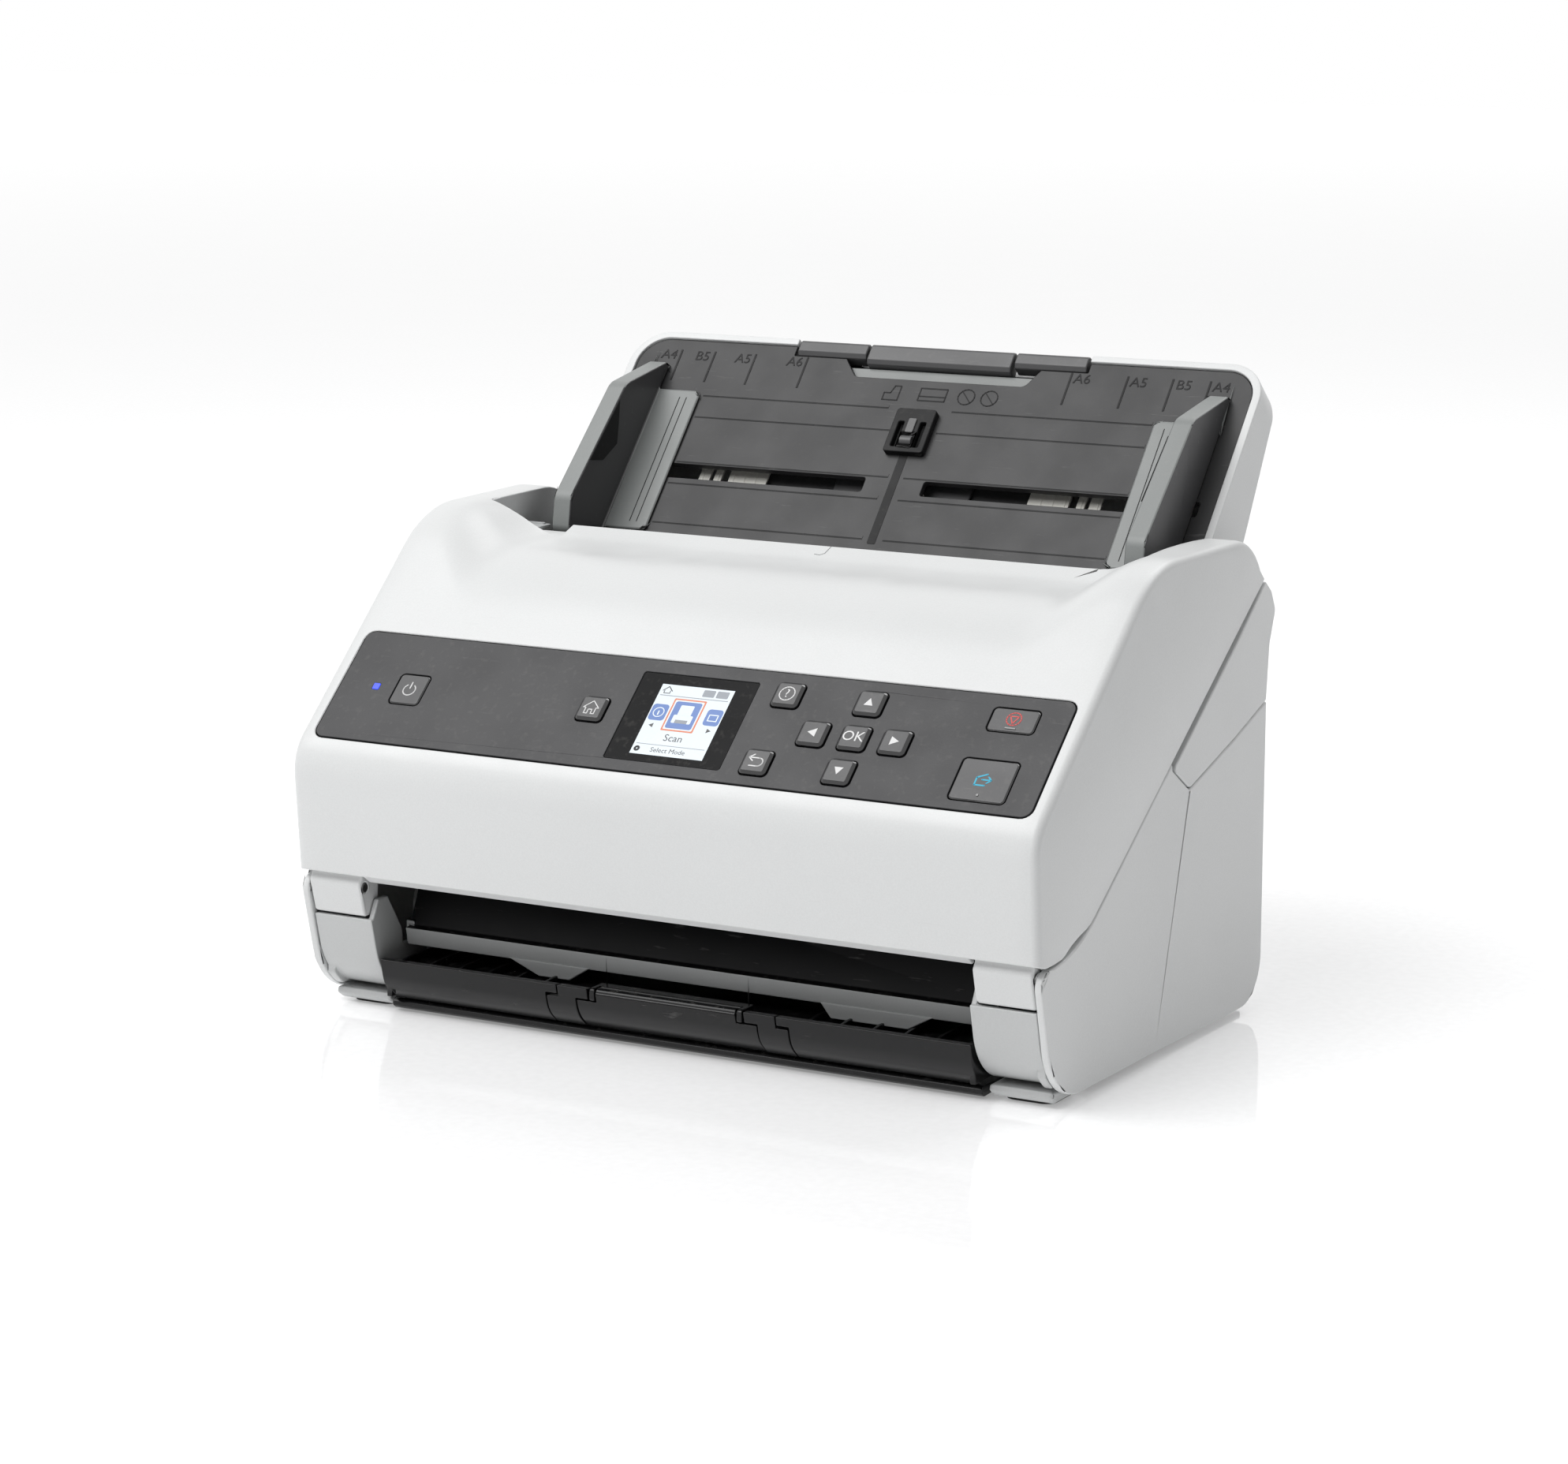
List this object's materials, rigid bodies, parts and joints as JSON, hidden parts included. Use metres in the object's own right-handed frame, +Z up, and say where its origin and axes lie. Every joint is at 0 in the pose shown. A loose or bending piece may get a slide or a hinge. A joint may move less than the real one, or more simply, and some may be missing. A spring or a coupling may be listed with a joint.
{
  "type": "sheet-fed document scanner",
  "caption": "Desktop sheet-fed document scanner with a tilted input tray, sliding edge guides, a keyed control panel with a display, and a pull-out output tray.",
  "frame": {"origin": "centre of the object's plan box, on the table plane", "axes": "+X to the user's right, +Y to the rear, +Z up"},
  "size_m": [0.2832, 0.2122, 0.2139],
  "materials": {
    "white_shell": "warm white moulded plastic, fine texture",
    "black_plastic": "near-black plastic",
    "grey_trim": "mid-grey moulded plastic",
    "steel": "zinc-plated steel",
    "sensor_glass": "clear glass strip",
    "motor": "dark motor can",
    "rubber": "feed rubber",
    "circuit": "green circuit board",
    "pad_rubber": "soft feet",
    "screw_steel": "plated screw",
    "tray_dark": "dark grey moulded plastic",
    "dark_panel": "dark grey fine-grained plastic",
    "lcd": "dark display window",
    "gear_white": "natural white gear plastic",
    "key_cap": "dark keys with polished edges"
  },
  "bodies": {
    "base": {"base_shell": "white_shell", "front_pillars": "white_shell", "rear_panel": "white_shell", "rear_sockets": "black_plastic", "bottom_pan": "black_plastic", "lower_deck": "grey_trim", "side_frames": "steel", "hinge_pins": "steel", "lower_sensor": "black_plastic", "lower_glass": "sensor_glass", "drive_motor": "motor", "drive_belt": "rubber", "main_board": "circuit", "feet": "grey_trim", "rubber_pads": "pad_rubber", "screws": "screw_steel", "tray_shell": "white_shell", "tray_plate": "tray_dark"},
    "cover": {"cover_shell": "white_shell", "cover_frame": "black_plastic", "control_panel": "dark_panel", "panel_board": "circuit", "lcd_window": "lcd", "upper_sensor": "black_plastic", "upper_glass": "sensor_glass", "hinge_blocks": "white_shell"},
    "cover_lever": {"cover_lever": "white_shell"},
    "feed_selector": {"feed_selector": "grey_trim"},
    "tray_extension": {"tray_extension": "grey_trim"},
    "tray_extension_tip": {"tray_extension_tip": "grey_trim"},
    "left_guide": {"left_guide": "grey_trim", "left_rack": "gear_white"},
    "right_guide": {"right_guide": "grey_trim", "right_rack": "gear_white"},
    "guide_pinion": {"guide_pinion": "gear_white"},
    "output_tray": {"output_tray": "black_plastic"},
    "output_extension": {"output_extension": "black_plastic"},
    "output_extension_tip": {"output_extension_tip": "black_plastic"},
    "output_stopper": {"output_stopper": "black_plastic"},
    "motor_pulley": {"motor_pulley": "steel"},
    "feed_roller": {"feed_roller": "gear_white", "feed_tyres": "rubber"},
    "pickup_roller": {"pickup_roller": "rubber"},
    "idler_gear": {"idler_gear": "gear_white"},
    "eject_roller": {"eject_roller": "gear_white", "eject_tyres": "rubber"},
    "separation_roller": {"separation_roller": "rubber"},
    "eject_idlers": {"eject_idlers": "rubber"},
    "power_button": {"power_button": "key_cap"},
    "home_button": {"home_button": "key_cap"},
    "help_button": {"help_button": "key_cap"},
    "back_button": {"back_button": "key_cap"},
    "up_button": {"up_button": "key_cap"},
    "left_button": {"left_button": "key_cap"},
    "ok_button": {"ok_button": "key_cap"},
    "right_button": {"right_button": "key_cap"},
    "down_button": {"down_button": "key_cap"},
    "stop_button": {"stop_button": "key_cap"},
    "start_button": {"start_button": "key_cap"}
  },
  "joints": [
    {"name": "cover_hinge", "type": "hinge", "parent": "base", "child": "cover", "pos_m": [0, -0.0986, 0.0445], "axis": [1, 0, 0], "range_deg": [0, 65]},
    {"name": "cover_lever_slide", "type": "slide", "parent": "base", "child": "cover_lever", "axis": [0, 0.809, 0.5878], "range_m": [0, 0.004], "stiffness_N_per_m": 300, "springref_m": -0.002},
    {"name": "feed_selector_slide", "type": "slide", "parent": "cover", "child": "feed_selector", "axis": [0, 1, 0], "range_m": [0, 0.004]},
    {"name": "left_guide_slide", "type": "slide", "parent": "base", "child": "left_guide", "axis": [1, 0, 0], "range_m": [0, 0.08]},
    {"name": "right_guide_slide", "type": "slide", "parent": "base", "child": "right_guide", "axis": [-1, 0, 0], "range_m": [0, 0.08]},
    {"name": "guide_pinion_turn", "type": "hinge", "parent": "base", "child": "guide_pinion", "pos_m": [0, 0.06344, 0.16579], "axis": [0, -0.7547, 0.6561], "range_deg": [-515, 0]},
    {"name": "tray_extension_slide", "type": "slide", "parent": "base", "child": "tray_extension", "axis": [0, 0.6561, 0.7547], "range_m": [0, 0.05]},
    {"name": "tray_extension_tip_slide", "type": "slide", "parent": "tray_extension", "child": "tray_extension_tip", "axis": [0, 0.6561, 0.7547], "range_m": [0, 0.045]},
    {"name": "output_tray_slide", "type": "slide", "parent": "base", "child": "output_tray", "axis": [0, -1, 0], "range_m": [0, 0.09]},
    {"name": "output_extension_slide", "type": "slide", "parent": "output_tray", "child": "output_extension", "axis": [0, -1, 0], "range_m": [0, 0.07]},
    {"name": "output_extension_tip_slide", "type": "slide", "parent": "output_extension", "child": "output_extension_tip", "axis": [0, -1, 0], "range_m": [0, 0.06]},
    {"name": "output_stopper_turn", "type": "hinge", "parent": "output_extension_tip", "child": "output_stopper", "pos_m": [0, -0.0936, 0.0184], "axis": [-1, 0, 0], "range_deg": [0, 110]},
    {"name": "power_button_press", "type": "slide", "parent": "cover", "child": "power_button", "axis": [0, 0.6644, -0.7473], "range_m": [0, 0.0008], "stiffness_N_per_m": 400, "springref_m": -0.001},
    {"name": "home_button_press", "type": "slide", "parent": "cover", "child": "home_button", "axis": [0, 0.6644, -0.7473], "range_m": [0, 0.0008], "stiffness_N_per_m": 400, "springref_m": -0.001},
    {"name": "help_button_press", "type": "slide", "parent": "cover", "child": "help_button", "axis": [0, 0.6644, -0.7473], "range_m": [0, 0.0008], "stiffness_N_per_m": 400, "springref_m": -0.001},
    {"name": "back_button_press", "type": "slide", "parent": "cover", "child": "back_button", "axis": [0, 0.6644, -0.7473], "range_m": [0, 0.0008], "stiffness_N_per_m": 400, "springref_m": -0.001},
    {"name": "up_button_press", "type": "slide", "parent": "cover", "child": "up_button", "axis": [0, 0.6644, -0.7473], "range_m": [0, 0.0008], "stiffness_N_per_m": 400, "springref_m": -0.001},
    {"name": "left_button_press", "type": "slide", "parent": "cover", "child": "left_button", "axis": [0, 0.6644, -0.7473], "range_m": [0, 0.0008], "stiffness_N_per_m": 400, "springref_m": -0.001},
    {"name": "ok_button_press", "type": "slide", "parent": "cover", "child": "ok_button", "axis": [0, 0.6644, -0.7473], "range_m": [0, 0.0008], "stiffness_N_per_m": 400, "springref_m": -0.001},
    {"name": "right_button_press", "type": "slide", "parent": "cover", "child": "right_button", "axis": [0, 0.6644, -0.7473], "range_m": [0, 0.0008], "stiffness_N_per_m": 400, "springref_m": -0.001},
    {"name": "down_button_press", "type": "slide", "parent": "cover", "child": "down_button", "axis": [0, 0.6644, -0.7473], "range_m": [0, 0.0008], "stiffness_N_per_m": 400, "springref_m": -0.001},
    {"name": "stop_button_press", "type": "slide", "parent": "cover", "child": "stop_button", "axis": [0, 0.6644, -0.7473], "range_m": [0, 0.0008], "stiffness_N_per_m": 400, "springref_m": -0.001},
    {"name": "start_button_press", "type": "slide", "parent": "cover", "child": "start_button", "axis": [0, 0.6644, -0.7473], "range_m": [0, 0.0008], "stiffness_N_per_m": 400, "springref_m": -0.001},
    {"name": "motor_spin", "type": "hinge", "parent": "base", "child": "motor_pulley", "pos_m": [0, -0.022, 0.047], "axis": [1, 0, 0], "continuous": true},
    {"name": "feed_roller_spin", "type": "hinge", "parent": "base", "child": "feed_roller", "pos_m": [0, 0.01211, 0.10624], "axis": [1, 0, 0], "continuous": true},
    {"name": "pickup_roller_spin", "type": "hinge", "parent": "base", "child": "pickup_roller", "pos_m": [0, 0.03668, 0.12876], "axis": [1, 0, 0], "continuous": true},
    {"name": "idler_gear_spin", "type": "hinge", "parent": "base", "child": "idler_gear", "pos_m": [0, 0.02583, 0.11594], "axis": [1, 0, 0], "continuous": true},
    {"name": "eject_roller_spin", "type": "hinge", "parent": "base", "child": "eject_roller", "pos_m": [0, -0.05643, 0.05767], "axis": [1, 0, 0], "continuous": true},
    {"name": "separation_roller_spin", "type": "hinge", "parent": "cover", "child": "separation_roller", "pos_m": [0, 0.00135, 0.12104], "axis": [1, 0, 0], "continuous": true},
    {"name": "eject_idlers_spin", "type": "hinge", "parent": "cover", "child": "eject_idlers", "pos_m": [0, -0.06484, 0.06924], "axis": [1, 0, 0], "continuous": true}
  ],
  "couplings": [
    {"joint": "right_guide_slide", "follows": "left_guide_slide", "ratio": 1},
    {"joint": "guide_pinion_turn", "follows": "left_guide_slide", "rad_per_m": -111.11},
    {"joint": "motor_spin", "follows": "feed_roller_spin", "ratio": 1},
    {"joint": "pickup_roller_spin", "follows": "feed_roller_spin", "ratio": 1},
    {"joint": "idler_gear_spin", "follows": "feed_roller_spin", "ratio": -0.90909},
    {"joint": "eject_roller_spin", "follows": "feed_roller_spin", "ratio": 1}
  ]
}
